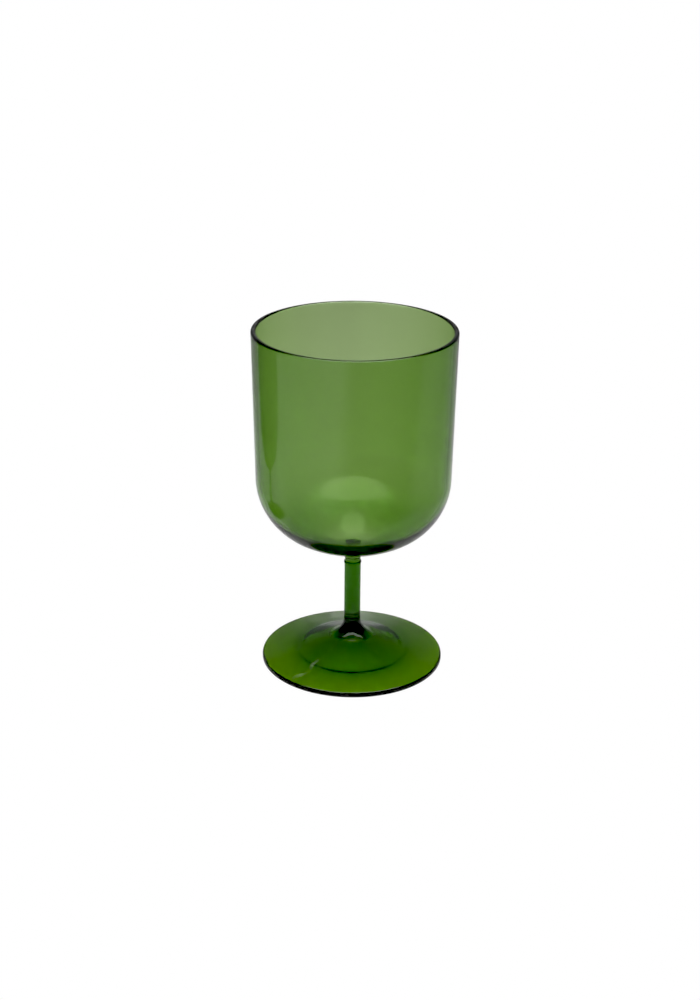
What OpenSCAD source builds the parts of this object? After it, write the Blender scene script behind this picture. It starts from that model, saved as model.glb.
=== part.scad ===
// Stemmed wine glass, worked in the flame from coloured glass.
//
// Millimetres, +Z up. The origin is the centre of the foot, on the plane that
// the glass stands on. Everything is turned about the Z axis.
//
// The glass is made from separately formed pieces that are sealed to each other:
//   bowl       blown cup with a fire-polished lip and a short solid neck
//   neck_weld  bead of glass that fills the groove between neck and stem
//   stem       drawn solid rod, seated in a shallow socket in the foot
//   foot_weld  flared collar of glass that blends the rod into the foot
//   foot       pressed disc, coned on top and hollow underneath
// Neighbours meet face to face, and no two of them share any volume.

/* [Bowl] */
// Outer diameter at the lip
rim_d = 80; // [76:0.5:84]
// Height of the lip above the table
total_h = 140; // [134:1:146]
// Slope of the side wall, in degrees, narrowing downwards
wall_slope = 1.13; // [0.6:0.01:1.6]
// Wall thickness at the lip
wall_t = 2; // [1.6:0.1:2.4]
// Radius of the fire-polished edges of the lip
lip_r = 0.75; // [0.4:0.05:0.78]
// Outer radius of the rounded corner between the wall and the base
corner_r = 27.4; // [25:0.2:29]
// Slope of the funnel-shaped base under the corner, in degrees
base_slope = 28; // [27:0.1:29]
// Height at which that slope would reach the axis
base_z = 42.7; // [42:0.1:44]
// Large radius by which the base flattens towards the neck
base_bow = 150; // [130:5:300]
// Inner radius of the corner
inner_corner_r = 23; // [21.5:0.1:24]
// Slope of the funnel inside the bowl, in degrees
inner_slope = 27.5; // [27:0.1:28]
// Radius of the large curve by which the funnel inside steepens towards the axis
inner_bow = 300; // [250:10:500]
// Height of the inner funnel above the outer one, on the axis
floor_t = 3.6; // [3.3:0.1:4.2]
// Radius of the small rounded bottom of the funnel
dip_r = 16; // [12:0.5:18]

/* [Neck] */
// Diameter of the short solid neck under the bowl
neck_d = 6.3; // [5.8:0.1:6.8]
// Height of the seam between neck and stem
seam_z = 42.5; // [41:0.1:43]
// Radius of the fillet between the neck and the bowl
neck_fillet = 0.9; // [0.6:0.1:1.4]

/* [Neck weld] */
// How far the bead stands proud of the rod
bead_crown = 0.3; // [0.15:0.01:0.5]
// Half the height of the bead, which is also the depth of its groove
bead_half_h = 0.5; // [0.4:0.05:0.7]

/* [Stem] */
// Diameter of the rod
stem_d = 6.6; // [6:0.1:7.2]
// Depth of the socket in the foot that the rod stands in
socket_depth = 0.6; // [0.4:0.1:1]

/* [Foot weld] */
// Radius of the concave flare between rod and foot
flare_r = 8.8; // [7.5:0.1:9.5]

/* [Foot] */
// Diameter of the foot
foot_d = 73.6; // [71:0.2:77]
// Height of the flat seat for the flare at the middle of the foot
pad_z = 9.57; // [9.2:0.01:9.9]
// Radius of the ring where the top surface becomes flatter
ring_r = 20; // [18:0.5:21]
// Height of that ring
ring_z = 6.2; // [5.8:0.1:6.4]
// Radius by which the change of slope is rounded
ring_bend = 30; // [10:5:60]
// Height of the top surface just inside the edge
edge_h = 2.3; // [2:0.1:2.6]
// Radius of the step in the hollow underneath
step_r = 20.8; // [19.6:0.2:22]
// Height of the step in the hollow
step_z = 2.2; // [1.8:0.1:2.4]
// Width of the nearly flat ledge outside the step
step_w = 2.2; // [1.6:0.2:4.6]
// Glass left between the hollow and the stem's socket
web_t = 1; // [0.8:0.1:1.4]
// Width of the flat ring that touches the table
land_w = 1.2; // [0.9:0.1:1.6]
// Radius of the rounded upper edge of the foot
edge_r = 1; // [0.6:0.1:1.2]

/* [Hidden] */
$fn = 128;

steps = 20;                       // straight segments in each large arc
rim_r = rim_d / 2;
neck_r = neck_d / 2;
stem_r = stem_d / 2;
foot_r = foot_d / 2;
seat_r = min(neck_r, stem_r) - bead_half_h;    // flat where neck and stem butt together
socket_z = pad_z - socket_depth;

// Points on an arc about c, from angle a0 to a1
function arc(c, r, a0, a1, n) =
    [for (i = [0:n]) let (a = a0 + (a1 - a0) * i / n) c + r * [cos(a), sin(a)]];

// Centre, as [r, z], of a corner circle of radius rc that touches a wall of slope s
// (passing through r0 at the lip) and a cone of slope f whose point is at height za
function corner_c(r0, s, rc, za, f) =
    let (cr = (r0 - rc / cos(s) + tan(s) * (za + rc / cos(f) - total_h)) / (1 - tan(s) * tan(f)))
    [cr, za + cr * tan(f) + rc / cos(f)];

outer_c = corner_c(rim_r, wall_slope, corner_r, base_z, base_slope);
inner_c = corner_c(rim_r - wall_t, wall_slope, inner_corner_r, base_z + floor_t, inner_slope);

// Underside: a very large arc from the corner to the fillet at the neck
bow_c = outer_c - (base_bow - corner_r) * [sin(base_slope), -cos(base_slope)];
fillet_r = neck_r + neck_fillet;
fillet_a = asin((fillet_r - bow_c[0]) / (base_bow + neck_fillet));
fillet_z = bow_c[1] - (base_bow + neck_fillet) * cos(fillet_a);

// Inside: a very large arc from the corner to the small rounded bottom on the axis
funnel_c = inner_c + (inner_bow + inner_corner_r) * [sin(inner_slope), -cos(inner_slope)];
dip_a = asin(funnel_c[0] / (inner_bow + dip_r));
dip_z = funnel_c[1] + (inner_bow + dip_r) * cos(dip_a);

module bowl() {
    color([0.33, 0.50, 0.20, 0.55])
    rotate_extrude()
    polygon(concat(
        [[0, seam_z], [seat_r, seam_z], [neck_r, seam_z + bead_half_h]],
        arc([fillet_r, fillet_z], neck_fillet, 180, 90 + fillet_a, 6),
        [for (i = [1:10]) let (a = fillet_a + (base_slope - fillet_a) * i / 10) bow_c + base_bow * [sin(a), -cos(a)]],
        [for (i = [1:steps]) let (a = base_slope - 90 + (90 - base_slope - wall_slope) * i / steps) outer_c + corner_r * [cos(a), sin(a)]],
        arc([rim_r - lip_r, total_h - lip_r], lip_r, -wall_slope, 90, 8),
        arc([rim_r - wall_t + lip_r, total_h - lip_r], lip_r, 90, 180, 8),
        arc(inner_c, inner_corner_r, -wall_slope, inner_slope - 90, steps),
        [for (i = [1:9]) let (a = inner_slope + (dip_a - inner_slope) * i / 10) funnel_c + inner_bow * [-sin(a), cos(a)]],
        arc([0, dip_z], dip_r, dip_a - 90, -90, 6)));
}

module neck_weld() {
    color([0.20, 0.36, 0.06, 0.8])
    rotate_extrude()
    polygon(concat(
        [[seat_r, seam_z]],
        [for (i = [0:12]) let (a = -90 + 15 * i)
            [(stem_r + neck_r) / 2 + (neck_r - stem_r) / 2 * sin(a) + bead_crown * cos(a),
             seam_z + bead_half_h * sin(a)]]));
}

module stem() {
    color([0.15, 0.34, 0.02, 0.85])
    rotate_extrude()
    polygon([[0, socket_z], [stem_r, socket_z], [stem_r, seam_z - bead_half_h],
             [seat_r, seam_z], [0, seam_z]]);
}

// The flare ends on the foot's inner slope, so the collar runs into the foot without a step
function flare_slope(i) =
    i == 0 ? 20 : let (b = flare_slope(i - 1), r = stem_r + flare_r * (1 - sin(b)))
    atan2(pad_z - ring_z, ring_r - r);
cone_a = flare_slope(8);
pad_r = stem_r + flare_r * (1 - sin(cone_a));

module foot_weld() {
    color([0.10, 0.24, 0.02, 0.9])
    rotate_extrude()
    polygon(concat(
        [[stem_r, pad_z]],
        arc([stem_r + flare_r, pad_z + flare_r * cos(cone_a)], flare_r, 270 - cone_a, 180, 16)));
}

// Rounded change of slope on top: a circle that touches the inner and the outer slope
rim_a = atan2(ring_z - edge_h, foot_r - edge_r - ring_r);
bend_l = ring_bend * tan((cone_a - rim_a) / 2);
bend_c = [ring_r + bend_l * cos(rim_a), ring_z - bend_l * sin(rim_a)] + ring_bend * [sin(rim_a), cos(rim_a)];

// Hollow underside: a smooth curve through a few rings, from the land up to the axis
hollow_h = socket_z - web_t;
land_r = foot_r - 0.5 - land_w;
under = [[land_r, 0], [land_r - 0.5, 0.1], [step_r + step_w, step_z - 0.1], [step_r, step_z],
         for (q = [[0.88, 0.155], [0.433, 0.71], [0.144, 0.966], [0, 1]])
             [step_r * q[0], step_z + (hollow_h - step_z) * q[1]]];

// Smooth curve through points p, with n straight segments between neighbours
function gap(p, i) = norm(p[i + 1] - p[i]);
function dir(p, i) = (p[i + 1] - p[i]) / gap(p, i);
function along(p, i) =
    i == 0 ? dir(p, 0) : i == len(p) - 1 ? dir(p, i - 1) :
    (dir(p, i - 1) * gap(p, i) + dir(p, i) * gap(p, i - 1)) / (gap(p, i) + gap(p, i - 1));
function smooth(p, n) =
    [for (i = [0:len(p) - 2]) for (j = [0:n - 1]) let (t = j / n, g = gap(p, i))
        (2 * t * t * t - 3 * t * t + 1) * p[i] + (t * t * t - 2 * t * t + t) * g * along(p, i)
        + (3 * t * t - 2 * t * t * t) * p[i + 1] + (t * t * t - t * t) * g * along(p, i + 1),
     p[len(p) - 1]];

module foot() {
    color([0.20, 0.38, 0.04, 0.75])
    rotate_extrude()
    polygon(concat(
        [[0, socket_z], [stem_r, socket_z], [stem_r, pad_z], [pad_r, pad_z]],
        arc(bend_c, ring_bend, 270 - cone_a, 270 - rim_a, 6),
        arc([foot_r - edge_r, edge_h - edge_r], edge_r, 90 - rim_a, 0, 8),
        [[foot_r, 0.5], [foot_r - 0.5, 0]],
        smooth(under, 4)));
}

bowl();
neck_weld();
stem();
foot_weld();
foot();
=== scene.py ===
"""Stemmed wine glass in green flame-worked glass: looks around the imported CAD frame."""

import math

import bpy
import numpy as np
from mathutils import Euler, Matrix, Vector


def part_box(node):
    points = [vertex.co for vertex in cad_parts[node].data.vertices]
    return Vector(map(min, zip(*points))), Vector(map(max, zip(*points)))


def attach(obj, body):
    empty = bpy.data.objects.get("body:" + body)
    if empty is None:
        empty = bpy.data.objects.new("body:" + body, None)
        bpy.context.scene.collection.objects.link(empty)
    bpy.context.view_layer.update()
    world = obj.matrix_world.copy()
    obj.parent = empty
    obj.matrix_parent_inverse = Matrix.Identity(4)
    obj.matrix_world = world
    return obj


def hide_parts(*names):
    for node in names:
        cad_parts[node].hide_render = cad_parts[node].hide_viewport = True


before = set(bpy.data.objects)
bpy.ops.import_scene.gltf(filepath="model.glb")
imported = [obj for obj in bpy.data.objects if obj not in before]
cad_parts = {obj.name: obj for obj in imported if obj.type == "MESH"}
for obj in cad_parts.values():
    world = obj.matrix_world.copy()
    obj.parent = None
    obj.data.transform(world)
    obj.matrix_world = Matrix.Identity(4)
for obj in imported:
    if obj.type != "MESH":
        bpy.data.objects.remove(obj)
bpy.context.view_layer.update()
scene = bpy.context.scene
MM = 0.001
SEG = 256  # facets round every turned piece
GAP = 0.006  # mm between two sealed faces, so that each piece stays a closed solid of its own

# ------------------------------------------------------------------ sizes, read from the CAD frame (mm)


def box_mm(node):
    lo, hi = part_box(node)
    return [v / MM for v in lo], [v / MM for v in hi]


bowl_lo, bowl_hi = box_mm("bowl")
stem_lo, stem_hi = box_mm("stem")
foot_lo, foot_hi = box_mm("foot")
flare_lo, flare_hi = box_mm("foot_weld")
bead_lo, bead_hi = box_mm("neck_weld")

RIM_R, LIP_Z = bowl_hi[0], bowl_hi[2]
SEAM_Z = bowl_lo[2]
STEM_R = stem_hi[0]
FOOT_R, PAD_Z = foot_hi[0], foot_hi[2]
PAD_R, FLARE_Z = flare_hi[0], flare_hi[2]
SOCKET_Z = stem_lo[2]

# the same driving sizes as in the CAD part, for the shapes that a box can't give (mm, degrees)
WALL_T = 2.0
FLOOR_T = 3.6
LIP_EDGE_R = 0.75
WALL_SLOPE = 1.13
CORNER_R = 27.4
BASE_SLOPE = 28.0
BASE_Z = 42.7
BASE_BOW = 150.0
INNER_CORNER_R = 23.0
INNER_SLOPE = 27.5
INNER_BOW = 300.0
DIP_R = 16
NECK_R = 3.15
NECK_FILLET = 0.9
BEAD_H = 0.5
BEAD_CROWN = 0.3
FLARE_R = 8.8
RING_R = 20.0
RING_Z = 6.2
RING_BEND = 30.0
EDGE_H = 2.3
EDGE_R = 1.0
STEP_R = 20.8
STEP_Z = 2.2
STEP_W = 2.2
WEB_T = 1.0
LAND_W = 1.2

LAND_R = FOOT_R - 0.5 - LAND_W
HOLLOW = [(LAND_R, 0.0), (LAND_R - 0.5, 0.1), (STEP_R + STEP_W, STEP_Z - 0.1), (STEP_R, STEP_Z)] + [
    (STEP_R * a, STEP_Z + (SOCKET_Z - WEB_T - STEP_Z) * b) for a, b in ((0.88, 0.155), (0.433, 0.71), (0.144, 0.966), (0, 1))]
CONE_A = 20.0                       # slope of the foot under the flare, in degrees
for _ in range(8):
    CONE_A = math.degrees(math.atan2(PAD_Z - RING_Z, RING_R - STEM_R - FLARE_R * (1 - math.sin(math.radians(CONE_A)))))
PAD_R = STEM_R + FLARE_R * (1 - math.sin(math.radians(CONE_A)))

# ------------------------------------------------------------------ outlines


def arc(c, r, a0, a1, n):
    """Points on a circle about c, from angle a0 to a1, in degrees."""
    return [
        (c[0] + r * math.cos(math.radians(a0 + (a1 - a0) * i / n)),
         c[1] + r * math.sin(math.radians(a0 + (a1 - a0) * i / n)))
        for i in range(n + 1)
    ]


def straight(a, b, n):
    """Points from a to b, both ends included."""
    return [(a[0] + (b[0] - a[0]) * i / n, a[1] + (b[1] - a[1]) * i / n) for i in range(n + 1)]


def cup(r0, s, rc, apex, funnel, n=48):
    """Corner arc of the bowl (radius rc), tangent to its sloping wall and to its funnel-shaped base.

    The funnel is a cone whose line would reach the axis at height apex."""
    k, t, f = math.tan(math.radians(s)), math.tan(math.radians(funnel)), math.cos(math.radians(funnel))
    cr = (r0 - rc / math.cos(math.radians(s)) - k * LIP_Z + k * (apex + rc / f)) / (1 - k * t)
    cz = apex + cr * t + rc / f
    return arc((cr, cz), rc, funnel - 90, -s, n)


def eased(pts, step=0.35):
    """A smooth curve through points: monotone cubic in both coordinates against chord length."""
    p = np.array(pts, float)
    d = np.r_[0, np.cumsum(np.linalg.norm(np.diff(p, axis=0), axis=1))]
    u = np.linspace(0, d[-1], max(int(d[-1] / step), 8))
    h = np.diff(d)
    out = []
    for ax in (0, 1):
        y = p[:, ax]
        s = np.diff(y) / h
        m = np.zeros(len(d))
        m[1:-1] = (s[:-1] * h[1:] + s[1:] * h[:-1]) / (h[1:] + h[:-1])
        m[0], m[-1] = s[0], s[-1]
        i = np.minimum(np.searchsorted(d, u, side="right") - 1, len(d) - 2)
        t = (u - d[i]) / h[i]
        out.append((2 * t**3 - 3 * t**2 + 1) * y[i] + (t**3 - 2 * t**2 + t) * h[i] * m[i]
                   + (-2 * t**3 + 3 * t**2) * y[i + 1] + (t**3 - t**2) * h[i] * m[i + 1])
    return [(float(a), float(b)) for a, b in zip(*out)]


def turned(name, runs, wave=None):
    """A closed solid of revolution from runs of outline points in mm.

    runs is a list of (points, sealed): consecutive runs share their end point, and the corner
    between two runs stays sharp. sealed marks the faces where the glass is fused to its neighbour.
    wave(r, z, angle) gives a small radial offset in mm."""
    pts, sealed, corners = [], [], set()
    for points, is_sealed in runs:
        points = [tuple(q) for q in points]
        if pts and math.dist(pts[-1], points[0]) < 1e-6:
            points = points[1:]
        corners.add(max(len(pts) - 1, 0))
        for q in points:
            pts.append(q)
            sealed.append(is_sealed)
    # sealed[i] is for the segment that ends at point i
    closed = not (pts[0][0] < 1e-6 and pts[-1][0] < 1e-6)
    if closed and math.dist(pts[0], pts[-1]) < 1e-6:
        sealed[0] = sealed[-1]
        pts.pop()
        sealed.pop()
    elif closed:
        sealed[0] = runs[-1][1]
    verts, rings, faces, marks, hard = [], [], [], [], []
    for i, (r, z) in enumerate(pts):
        if r < 1e-6:
            rings.append([len(verts)])
            verts.append((0.0, 0.0, z * MM))
            continue
        ring = []
        for k in range(SEG):
            a = 2 * math.pi * k / SEG
            q = r + (wave(r, z, a) if wave else 0.0)
            ring.append(len(verts))
            verts.append((q * MM * math.cos(a), q * MM * math.sin(a), z * MM))
        rings.append(ring)
        if i in corners:
            hard += [tuple(sorted((ring[k], ring[(k + 1) % SEG]))) for k in range(SEG)]
    n = len(pts)
    for i in range(1, n + (1 if closed else 0)):
        a, b, mark = rings[i - 1], rings[i % n], float(sealed[i % n])
        if len(a) == 1 and len(b) == 1:
            continue
        for k in range(SEG):
            m = (k + 1) % SEG
            if len(a) == 1:
                faces.append((a[0], b[m], b[k]))
            elif len(b) == 1:
                faces.append((a[k], a[m], b[0]))
            else:
                faces.append((a[k], a[m], b[m], b[k]))
            marks.append(mark)
    mesh = bpy.data.meshes.new(name)
    mesh.from_pydata(verts, [], faces)
    mesh.update()
    # outward normals: the signed volume of the solid has to be positive
    co = np.array(verts)
    tri = [(f[0], f[j], f[j + 1]) for f in faces for j in range(1, len(f) - 1)]
    t = co[np.array(tri)]
    vol = float(np.einsum("ij,ij->i", t[:, 0], np.cross(t[:, 1], t[:, 2])).sum()) / 6
    if vol < 0:
        mesh.flip_normals()
    mesh.polygons.foreach_set("use_smooth", [True] * len(mesh.polygons))
    if hard:
        hard = set(hard)
        flags = [tuple(sorted(e.vertices)) in hard for e in mesh.edges]
        mesh.attributes.new("sharp_edge", "BOOLEAN", "EDGE").data.foreach_set("value", flags)
    seal = mesh.attributes.new("seal", "FLOAT", "FACE")
    seal.data.foreach_set("value", marks)
    mesh.update()
    piece = bpy.data.objects.new(name, mesh)
    scene.collection.objects.link(piece)
    return piece


# ------------------------------------------------------------------ the five pieces


def bowl_piece():
    seat = min(NECK_R, STEM_R) - BEAD_H
    outer = cup(RIM_R, WALL_SLOPE, CORNER_R, BASE_Z, BASE_SLOPE)
    inner = cup(RIM_R - WALL_T, WALL_SLOPE, INNER_CORNER_R, BASE_Z + FLOOR_T, INNER_SLOPE)
    # under the corner the base flattens gently towards the neck
    f = math.radians(BASE_SLOPE)
    bc = (outer[0][0] - BASE_BOW * math.sin(f), outer[0][1] + BASE_BOW * math.cos(f))
    fr = NECK_R + NECK_FILLET
    fz = bc[1] - math.sqrt((BASE_BOW + NECK_FILLET) ** 2 - (fr - bc[0]) ** 2)
    g = math.degrees(math.asin((fr - bc[0]) / (BASE_BOW + NECK_FILLET)))
    base = arc(bc, BASE_BOW, g - 90, BASE_SLOPE - 90, 40)
    # inside, the funnel steepens a little towards the axis and ends in a small round dip
    n = math.radians(INNER_SLOPE)
    nc = (inner[0][0] + INNER_BOW * math.sin(n), inner[0][1] - INNER_BOW * math.cos(n))
    dip_z = nc[1] + math.sqrt((INNER_BOW + DIP_R) ** 2 - nc[0] ** 2)
    dip_a = math.degrees(math.asin(nc[0] / (INNER_BOW + DIP_R)))
    wall_top = (RIM_R - LIP_EDGE_R + LIP_EDGE_R * math.cos(math.radians(WALL_SLOPE)), LIP_Z - LIP_EDGE_R)
    skin = straight((NECK_R, SEAM_Z + BEAD_H), (NECK_R, fz), 12)
    skin += arc((fr, fz), NECK_FILLET, 180, 90 + g, 20)[1:]
    skin += base[1:]
    skin += outer[1:]
    skin += straight(outer[-1], wall_top, 40)[1:-1]
    skin += arc((RIM_R - LIP_EDGE_R, LIP_Z - LIP_EDGE_R), LIP_EDGE_R, -WALL_SLOPE, 90, 10)
    skin += arc((RIM_R - WALL_T + LIP_EDGE_R, LIP_Z - LIP_EDGE_R), LIP_EDGE_R, 90, 180, 10)
    skin += straight(skin[-1], inner[-1], 40)[1:-1]
    skin += inner[::-1]
    skin += arc(nc, INNER_BOW, 90 + INNER_SLOPE, 90 + dip_a, 40)[1:]
    skin += arc((0, dip_z), DIP_R, dip_a - 90, -90, 12)[1:]
    skin[-1] = (0.0, skin[-1][1])
    return turned("glass_bowl", [
        ([(0, SEAM_Z + GAP), (seat, SEAM_Z + GAP)], True),
        ([(seat, SEAM_Z + GAP), (NECK_R, SEAM_Z + BEAD_H + GAP)], True),
        (skin, False),
    ])


def neck_weld_piece():
    seat = min(NECK_R, STEM_R) - BEAD_H
    crown = []
    for i in range(25):
        a = math.radians(-90 + 7.5 * i)
        crown.append(((STEM_R + NECK_R) / 2 + (NECK_R - STEM_R) / 2 * math.sin(a) + BEAD_CROWN * math.cos(a),
                      SEAM_Z + (BEAD_H - GAP) * math.sin(a)))
    return turned("glass_neck_weld", [
        ([(seat + 2 * GAP, SEAM_Z), crown[0]], True),
        (crown, False),
        ([crown[-1], (seat + 2 * GAP, SEAM_Z)], True),
    ])


def stem_piece():
    seat = min(NECK_R, STEM_R) - BEAD_H
    return turned("glass_stem", [
        ([(0, SOCKET_Z + GAP), (STEM_R - GAP, SOCKET_Z + GAP)], True),
        (straight((STEM_R - GAP, SOCKET_Z + GAP), (STEM_R - GAP, FLARE_Z), 6), True),
        (straight((STEM_R - GAP, FLARE_Z), (STEM_R, SEAM_Z - BEAD_H - GAP), 30), False),
        ([(STEM_R, SEAM_Z - BEAD_H - GAP), (seat, SEAM_Z - GAP)], True),
        ([(seat, SEAM_Z - GAP), (0, SEAM_Z - GAP)], True),
    ])


def foot_weld_piece():
    b = CONE_A
    flare = arc((STEM_R + FLARE_R, PAD_Z + FLARE_R * math.cos(math.radians(b))), FLARE_R, 180, 270 - b, 40)
    flare[0] = (STEM_R + GAP, flare[0][1])
    return turned("glass_foot_weld", [
        ([(STEM_R + GAP, PAD_Z + GAP), (PAD_R - GAP, PAD_Z + GAP)], True),
        ([(PAD_R - GAP, PAD_Z + GAP)] + flare[::-1], False),
        ([flare[0], (STEM_R + GAP, PAD_Z + GAP)], True),
    ])


def foot_piece():
    rim_a = math.degrees(math.atan2(RING_Z - EDGE_H, FOOT_R - EDGE_R - RING_R))
    s, c = math.sin(math.radians(rim_a)), math.cos(math.radians(rim_a))
    bend = RING_BEND * math.tan(math.radians(CONE_A - rim_a) / 2)
    bc = (RING_R + bend * c + RING_BEND * s, RING_Z - bend * s + RING_BEND * c)
    ring = arc(bc, RING_BEND, 270 - CONE_A, 270 - rim_a, 16)
    edge = arc((FOOT_R - EDGE_R, EDGE_H - EDGE_R), EDGE_R, 90 - rim_a, 0, 12)
    top = straight((PAD_R, PAD_Z), ring[0], 20) + ring[1:] + straight(ring[-1], edge[0], 30)[1:] + edge[1:]
    return turned("glass_foot", [
        ([(0, SOCKET_Z), (STEM_R, SOCKET_Z)], True),
        ([(STEM_R, SOCKET_Z), (STEM_R, PAD_Z)], True),
        ([(STEM_R, PAD_Z), (PAD_R, PAD_Z)], True),
        (top, False),
        (arc((FOOT_R - 0.6, 0.6), 0.6, 0, -90, 8), False),
        ([(FOOT_R - 0.6, 0), HOLLOW[0]], False),
        (eased(HOLLOW, 0.6), False),
    ])


# ------------------------------------------------------------------ glass


def glass(name, per_mm, ior=1.49, rough=0.01, ripple=0.1, scale=(40.0, 40.0, 18.0), haze=30.0):
    """Clear coloured glass. The colour comes from the depth of glass that light goes through.

    per_mm: absorption of red, green and blue; ripple: depth of the flame's ripples, drawn out
    by scale (per metre along X, Y, Z); rough: how far the polish dulls in patches of haze."""
    m = bpy.data.materials.new(name)
    m.use_nodes = True
    nt = m.node_tree
    p = nt.nodes["Principled BSDF"]
    out = nt.nodes["Material Output"]
    p.inputs["Base Color"].default_value = (1, 1, 1, 1)
    p.inputs["Transmission Weight"].default_value = 1.0
    p.inputs["Roughness"].default_value = 0.0
    p.inputs["IOR"].default_value = ior
    # fused faces bend nothing: light runs on through a seal as through one body of glass
    seal = nt.nodes.new("ShaderNodeAttribute")
    seal.attribute_name = "seal"
    bend = nt.nodes.new("ShaderNodeMapRange")
    bend.inputs["To Min"].default_value = ior
    bend.inputs["To Max"].default_value = 1.0
    nt.links.new(seal.outputs["Fac"], bend.inputs["Value"])
    nt.links.new(bend.outputs["Result"], p.inputs["IOR"])
    # fire-polished surface: long shallow ripples left by the flame
    tc = nt.nodes.new("ShaderNodeTexCoord")
    mp = nt.nodes.new("ShaderNodeMapping")
    mp.inputs["Scale"].default_value = scale
    nt.links.new(tc.outputs["Object"], mp.inputs["Vector"])
    wave = nt.nodes.new("ShaderNodeTexNoise")
    wave.inputs["Scale"].default_value = 1.0
    wave.inputs["Detail"].default_value = 1.0
    nt.links.new(mp.outputs["Vector"], wave.inputs["Vector"])
    bump = nt.nodes.new("ShaderNodeBump")
    bump.inputs["Strength"].default_value = ripple
    bump.inputs["Distance"].default_value = 0.002
    nt.links.new(wave.outputs["Fac"], bump.inputs["Height"])
    nt.links.new(bump.outputs["Normal"], p.inputs["Normal"])
    # the polish isn't quite even
    patch = nt.nodes.new("ShaderNodeTexNoise")
    patch.inputs["Scale"].default_value = haze
    patch.inputs["Detail"].default_value = 3.0
    nt.links.new(tc.outputs["Object"], patch.inputs["Vector"])
    dull = nt.nodes.new("ShaderNodeMapRange")
    dull.interpolation_type = "SMOOTHSTEP"
    dull.inputs["From Min"].default_value = 0.5
    dull.inputs["From Max"].default_value = 0.75
    dull.inputs["To Min"].default_value = 0.0
    dull.inputs["To Max"].default_value = rough
    nt.links.new(patch.outputs["Fac"], dull.inputs["Value"])
    nt.links.new(dull.outputs["Result"], p.inputs["Roughness"])
    d = max(per_mm)
    v = nt.nodes.new("ShaderNodeVolumeAbsorption")
    v.inputs["Color"].default_value = (*[1 - a / d for a in per_mm], 1)
    v.inputs["Density"].default_value = d * 1000
    nt.links.new(v.outputs["Volume"], out.inputs["Volume"])
    return m


BOWL_ABS = (0.342, 0.193, 0.565)
STEM_ABS = (0.50, 0.25, 1.8)
FOOT_ABS = (0.276, 0.125, 0.78)
mats = {
    "bowl_glass": glass("green_bowl_glass", BOWL_ABS, ripple=0.12),
    "weld_glass": glass("green_weld_glass", BOWL_ABS, ripple=0.1, scale=(300.0, 300.0, 300.0)),
    "stem_glass": glass("green_stem_glass", STEM_ABS, ripple=0.12, scale=(260.0, 260.0, 30.0), haze=80.0),
    "foot_glass": glass("green_foot_glass", FOOT_ABS, ripple=0.12, scale=(60.0, 60.0, 60.0)),
}
pieces = [
    (bowl_piece(), "bowl", "bowl_glass"),
    (neck_weld_piece(), "neck_weld", "weld_glass"),
    (stem_piece(), "stem", "stem_glass"),
    (foot_weld_piece(), "foot_weld", "stem_glass"),
    (foot_piece(), "foot", "foot_glass"),
]
for piece, node, slot in pieces:
    piece.data.materials.append(mats[slot])
    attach(piece, "root")
    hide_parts(node)

# ------------------------------------------------------------------ studio


def emitter(name, strength, size, soft, brink=None):
    """Even light across a panel, fading out over the outer part (soft, 0..1) of an oval.

    brink, if given, is (place along Y, half width, level beyond it) of a drop in the light."""
    m = bpy.data.materials.new(name)
    m.use_nodes = True
    nt = m.node_tree
    nt.nodes.clear()
    e = nt.nodes.new("ShaderNodeEmission")
    e.inputs["Strength"].default_value = strength
    if soft:
        co = nt.nodes.new("ShaderNodeTexCoord")
        scale = nt.nodes.new("ShaderNodeMapping")
        scale.inputs["Scale"].default_value = (2 / size[0], 2 / size[1], 0)
        nt.links.new(co.outputs["Object"], scale.inputs["Vector"])
        length = nt.nodes.new("ShaderNodeVectorMath")
        length.operation = "LENGTH"
        nt.links.new(scale.outputs[0], length.inputs[0])
        fade = nt.nodes.new("ShaderNodeMapRange")
        fade.interpolation_type = "SMOOTHSTEP"
        fade.inputs["From Min"].default_value = 1 - soft
        fade.inputs["From Max"].default_value = 1.0
        fade.inputs["To Min"].default_value = strength
        fade.inputs["To Max"].default_value = 0.0
        nt.links.new(length.outputs["Value"], fade.inputs["Value"])
        level = fade.outputs[0]
        if brink:
            # beyond the front cloth of the box the light falls to a lower, even level
            axes = nt.nodes.new("ShaderNodeSeparateXYZ")
            nt.links.new(co.outputs["Object"], axes.inputs[0])
            drop = nt.nodes.new("ShaderNodeMapRange")
            drop.interpolation_type = "SMOOTHSTEP"
            drop.inputs["From Min"].default_value = brink[0] - brink[1]
            drop.inputs["From Max"].default_value = brink[0] + brink[1]
            drop.inputs["To Min"].default_value = 1.0
            drop.inputs["To Max"].default_value = brink[2]
            nt.links.new(axes.outputs["Y"], drop.inputs["Value"])
            both = nt.nodes.new("ShaderNodeMath")
            both.operation = "MULTIPLY"
            nt.links.new(level, both.inputs[0])
            nt.links.new(drop.outputs[0], both.inputs[1])
            level = both.outputs[0]
        nt.links.new(level, e.inputs["Strength"])
    o = nt.nodes.new("ShaderNodeOutputMaterial")
    nt.links.new(e.outputs[0], o.inputs["Surface"])
    return m


def panel(name, place, size, look, material, roll=0.0):
    """A flat soft box, seen by the glass but not by the camera itself."""
    x, y = size[0] / 2, size[1] / 2
    mesh = bpy.data.meshes.new(name)
    mesh.from_pydata([(-x, -y, 0), (x, -y, 0), (x, y, 0), (-x, y, 0)], [], [(0, 1, 2, 3)])
    mesh.materials.append(material)
    o = bpy.data.objects.new(name, mesh)
    scene.collection.objects.link(o)
    o.location = place
    aim = (Vector(look) - Vector(place)).to_track_quat("-Z", "Y").to_matrix()
    o.rotation_euler = (aim @ Matrix.Rotation(math.radians(roll), 3, "Z")).to_euler()
    o.visible_camera = False
    return o


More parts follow.
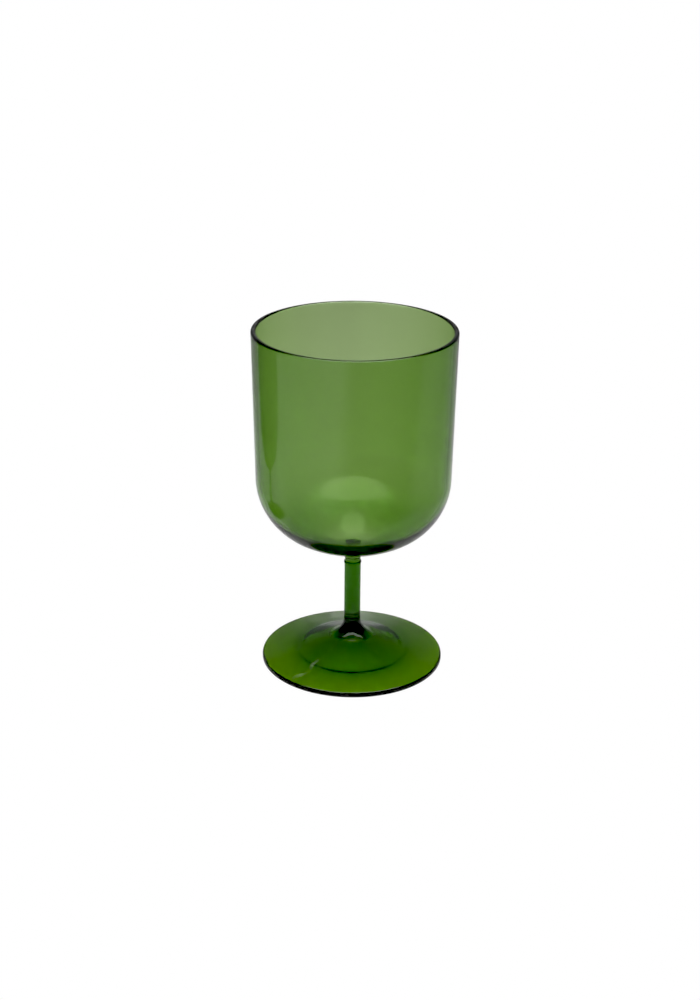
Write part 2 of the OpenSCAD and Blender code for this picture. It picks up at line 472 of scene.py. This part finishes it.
BRINK = (0.5, 0.02, 0.3)
LIGHTS = [
    ("top_box", (0, -0.25, 1.3), (2.2, 2.3), (0, -0.25, 0.1), 3.2, 0.25, BRINK, 0),
    ("back_strip", (-0.328, 0.898, 1.013), (0.14, 0.034), (-0.0186, -0.0214, 0.004), 1.5, 1.0, None, -54),
]
for name, place, size, look, e, soft, brink, roll in LIGHTS:
    panel(name, place, size, look, emitter(name + "_light", e, size, soft, brink), roll)

FLOOR_GREY = 0.68
# the next two darken the paper's colour: painted shade away from its lit areas, and a painted shadow in front at the
# right
FLOOR_PAINTED_SHADE = 0.72
FLOOR_PAINTED_SHADOW = 0.4
BEHIND = (0.1, 0.18)
FRONT = (-0.14, 0.05)
WORLD = 0.04
BLACK = 0.018
NEIGHBOUR = (-0.132, 0.02, 0.0)
CYC_Y, CYC_R, CYC_TOP, CYC_SIDE = 0.9, 0.3, 2.5, 3.0
floor_mat = bpy.data.materials.new("pale_floor")
floor_mat.use_nodes = True
nt = floor_mat.node_tree
nt.nodes.clear()
path = nt.nodes.new("ShaderNodeLightPath")
mix = nt.nodes.new("ShaderNodeMixShader")
white = nt.nodes.new("ShaderNodeEmission")
white.inputs["Strength"].default_value = 1.0
paper = nt.nodes.new("ShaderNodeBsdfDiffuse")


def ramp(value, lo, hi, a=0.0, b=1.0):
    """Smooth step of a socket between lo and hi, giving a to b."""
    r = nt.nodes.new("ShaderNodeMapRange")
    r.interpolation_type = "SMOOTHSTEP"
    for key, v in zip(("From Min", "From Max", "To Min", "To Max"), (lo, hi, a, b)):
        r.inputs[key].default_value = v
    nt.links.new(value, r.inputs["Value"])
    return r.outputs["Result"]


def maths(op, a, b=None):
    n = nt.nodes.new("ShaderNodeMath")
    n.operation = op
    nt.links.new(a, n.inputs[0])
    if b is not None:
        nt.links.new(b, n.inputs[1])
    return n.outputs[0]


# painted light and shade on the paper: full grey behind the glass and in front of it at the left, standing for lit
# paper;
# the rest, which the glass sees in its reflections only, is painted darker as shade, darkest in front at the right as
# a painted shadow
place = nt.nodes.new("ShaderNodeSeparateXYZ")
nt.links.new(nt.nodes.new("ShaderNodeTexCoord").outputs["Object"], place.inputs[0])
px, py = place.outputs["X"], place.outputs["Y"]
behind = maths("MULTIPLY", ramp(maths("ABSOLUTE", px), BEHIND[1], BEHIND[0]), ramp(py, -0.08, -0.04))
front = maths("MULTIPLY", ramp(px, FRONT[1], FRONT[0]), ramp(py, 0.08, -0.02))
# paper colour with painted light and shade: full grey in those areas, painted darker elsewhere
paper_painted_light = ramp(maths("MAXIMUM", behind, front), 0.0, 1.0, FLOOR_GREY * FLOOR_PAINTED_SHADE, FLOOR_GREY)
# painted shadow on the paper in front of the glass at the right
painted_shadow_front_right = maths("MULTIPLY", ramp(px, FRONT[0], FRONT[1]), ramp(py, -0.05, -0.14))
paper_painted_light = maths("MULTIPLY", paper_painted_light, ramp(painted_shadow_front_right, 0.0, 1.0, 1.0, FLOOR_PAINTED_SHADOW))
nt.links.new(paper_painted_light, paper.inputs["Color"])
o = nt.nodes.new("ShaderNodeOutputMaterial")
nt.links.new(path.outputs["Is Camera Ray"], mix.inputs[0])
nt.links.new(paper.outputs[0], mix.inputs[1])
nt.links.new(white.outputs[0], mix.inputs[2])
nt.links.new(mix.outputs[0], o.inputs["Surface"])
line = [(-CYC_SIDE, 0.0)] + [
    (CYC_Y + CYC_R * math.sin(a), CYC_R - CYC_R * math.cos(a)) for a in np.linspace(0, math.pi / 2, 17)
] + [(CYC_Y + CYC_R, CYC_TOP)]
verts, faces = [], []
for y, z in line:
    verts += [(-CYC_SIDE, y, z - 0.00005), (CYC_SIDE, y, z - 0.00005)]
for i in range(len(line) - 1):
    faces.append((2 * i, 2 * i + 1, 2 * i + 3, 2 * i + 2))
mesh = bpy.data.meshes.new("floor")
mesh.from_pydata(verts, [], faces)
mesh.polygons.foreach_set("use_smooth", [True] * len(mesh.polygons))
mesh.materials.append(floor_mat)
floor = bpy.data.objects.new("floor", mesh)
scene.collection.objects.link(floor)

# a second glass of the same kind stands out of the picture at the left, as a dim diffuse shape that
# only shows in the reflections on the bowl; its tones are painted light, standing for what is seen through a glass
mesh = bpy.data.meshes.new("neighbour")
side = [(0, 1), (34, 1), (36, 3), (9, 9), (3.3, 16), (3.3, 45), (16, 51), (30, 58), (38, 72), (39, 95), (40, 139), (0, 139)]
verts = [(r * MM * math.cos(a), r * MM * math.sin(a), z * MM)
         for r, z in side for a in np.linspace(0, 2 * math.pi, 64, endpoint=False)]
faces = [(64 * i + k, 64 * i + (k + 1) % 64, 64 * i + 64 + (k + 1) % 64, 64 * i + 64 + k)
         for i in range(len(side) - 1) for k in range(64)]
mesh.from_pydata(verts, [], faces)
dim = bpy.data.materials.new("neighbour_dim")
dim.use_nodes = True
shade = dim.node_tree.nodes["Principled BSDF"]
shade.inputs["Roughness"].default_value = 0.6
nn = dim.node_tree
axes = nn.nodes.new("ShaderNodeSeparateXYZ")
nn.links.new(nn.nodes.new("ShaderNodeTexCoord").outputs["Object"], axes.inputs[0])
# painted light seen through a glass: darker through the thick foot and stem, lighter through the bowl
rise = nn.nodes.new("ShaderNodeMapRange")             # darker foot and stem under a lighter bowl
rise.inputs["From Min"].default_value = 50 * MM
rise.inputs["From Max"].default_value = 95 * MM
nn.links.new(axes.outputs["Z"], rise.inputs["Value"])
painted_see_through_tone = nn.nodes.new("ShaderNodeMix")
painted_see_through_tone.data_type = "RGBA"
painted_see_through_tone.inputs["A"].default_value = (0.03, 0.05, 0.02, 1)
painted_see_through_tone.inputs["B"].default_value = (0.30, 0.34, 0.26, 1)
nn.links.new(rise.outputs["Result"], painted_see_through_tone.inputs["Factor"])
nn.links.new(painted_see_through_tone.outputs["Result"], shade.inputs["Base Color"])
mesh.materials.append(dim)
neighbour = bpy.data.objects.new("neighbour", mesh)
scene.collection.objects.link(neighbour)
neighbour.location = NEIGHBOUR
neighbour.visible_camera = False
neighbour.visible_diffuse = False
neighbour.visible_transmission = False
neighbour.visible_shadow = False

world = bpy.data.worlds.new("studio")
scene.world = world
world.use_nodes = True
wn = world.node_tree
bg = wn.nodes["Background"]
bg.inputs["Color"].default_value = (1, 1, 1, 1)
bg.inputs["Strength"].default_value = WORLD
plain = wn.nodes.new("ShaderNodeBackground")      # the backdrop is white from every side
plain.inputs["Color"].default_value = (1, 1, 1, 1)
plain.inputs["Strength"].default_value = 1.0
seen = wn.nodes.new("ShaderNodeLightPath")
either = wn.nodes.new("ShaderNodeMixShader")
wn.links.new(seen.outputs["Is Camera Ray"], either.inputs[0])
wn.links.new(bg.outputs[0], either.inputs[1])
wn.links.new(plain.outputs[0], either.inputs[2])
wn.links.new(either.outputs[0], wn.nodes["World Output"].inputs["Surface"])

# ------------------------------------------------------------------ camera, at the photograph's viewing angle

cam = bpy.data.cameras.new("camera")
cam_ob = bpy.data.objects.new("camera", cam)
scene.collection.objects.link(cam_ob)
cam.sensor_width = 36.0
cam.lens = 61.38
cam.clip_start = 0.01
cam.shift_x = -0.0033
cam_ob.matrix_world = (
    Matrix.Translation((0.0, -0.6270, 0.3311))
    @ Euler((math.radians(90 - 22.67), 0, 0)).to_matrix().to_4x4()
    @ Matrix.Rotation(math.radians(0.58), 4, "Z")
)
scene.camera = cam_ob

scene.view_settings.view_transform = "Standard"
scene.view_settings.use_curve_mapping = True          # a little of the lens haze taken out of the blacks
scene.view_settings.curve_mapping.black_level = (BLACK, BLACK, BLACK)
scene.view_settings.curve_mapping.update()
scene.cycles.max_bounces = 48
scene.cycles.transmission_bounces = 48
scene.cycles.glossy_bounces = 24
scene.cycles.transparent_max_bounces = 48
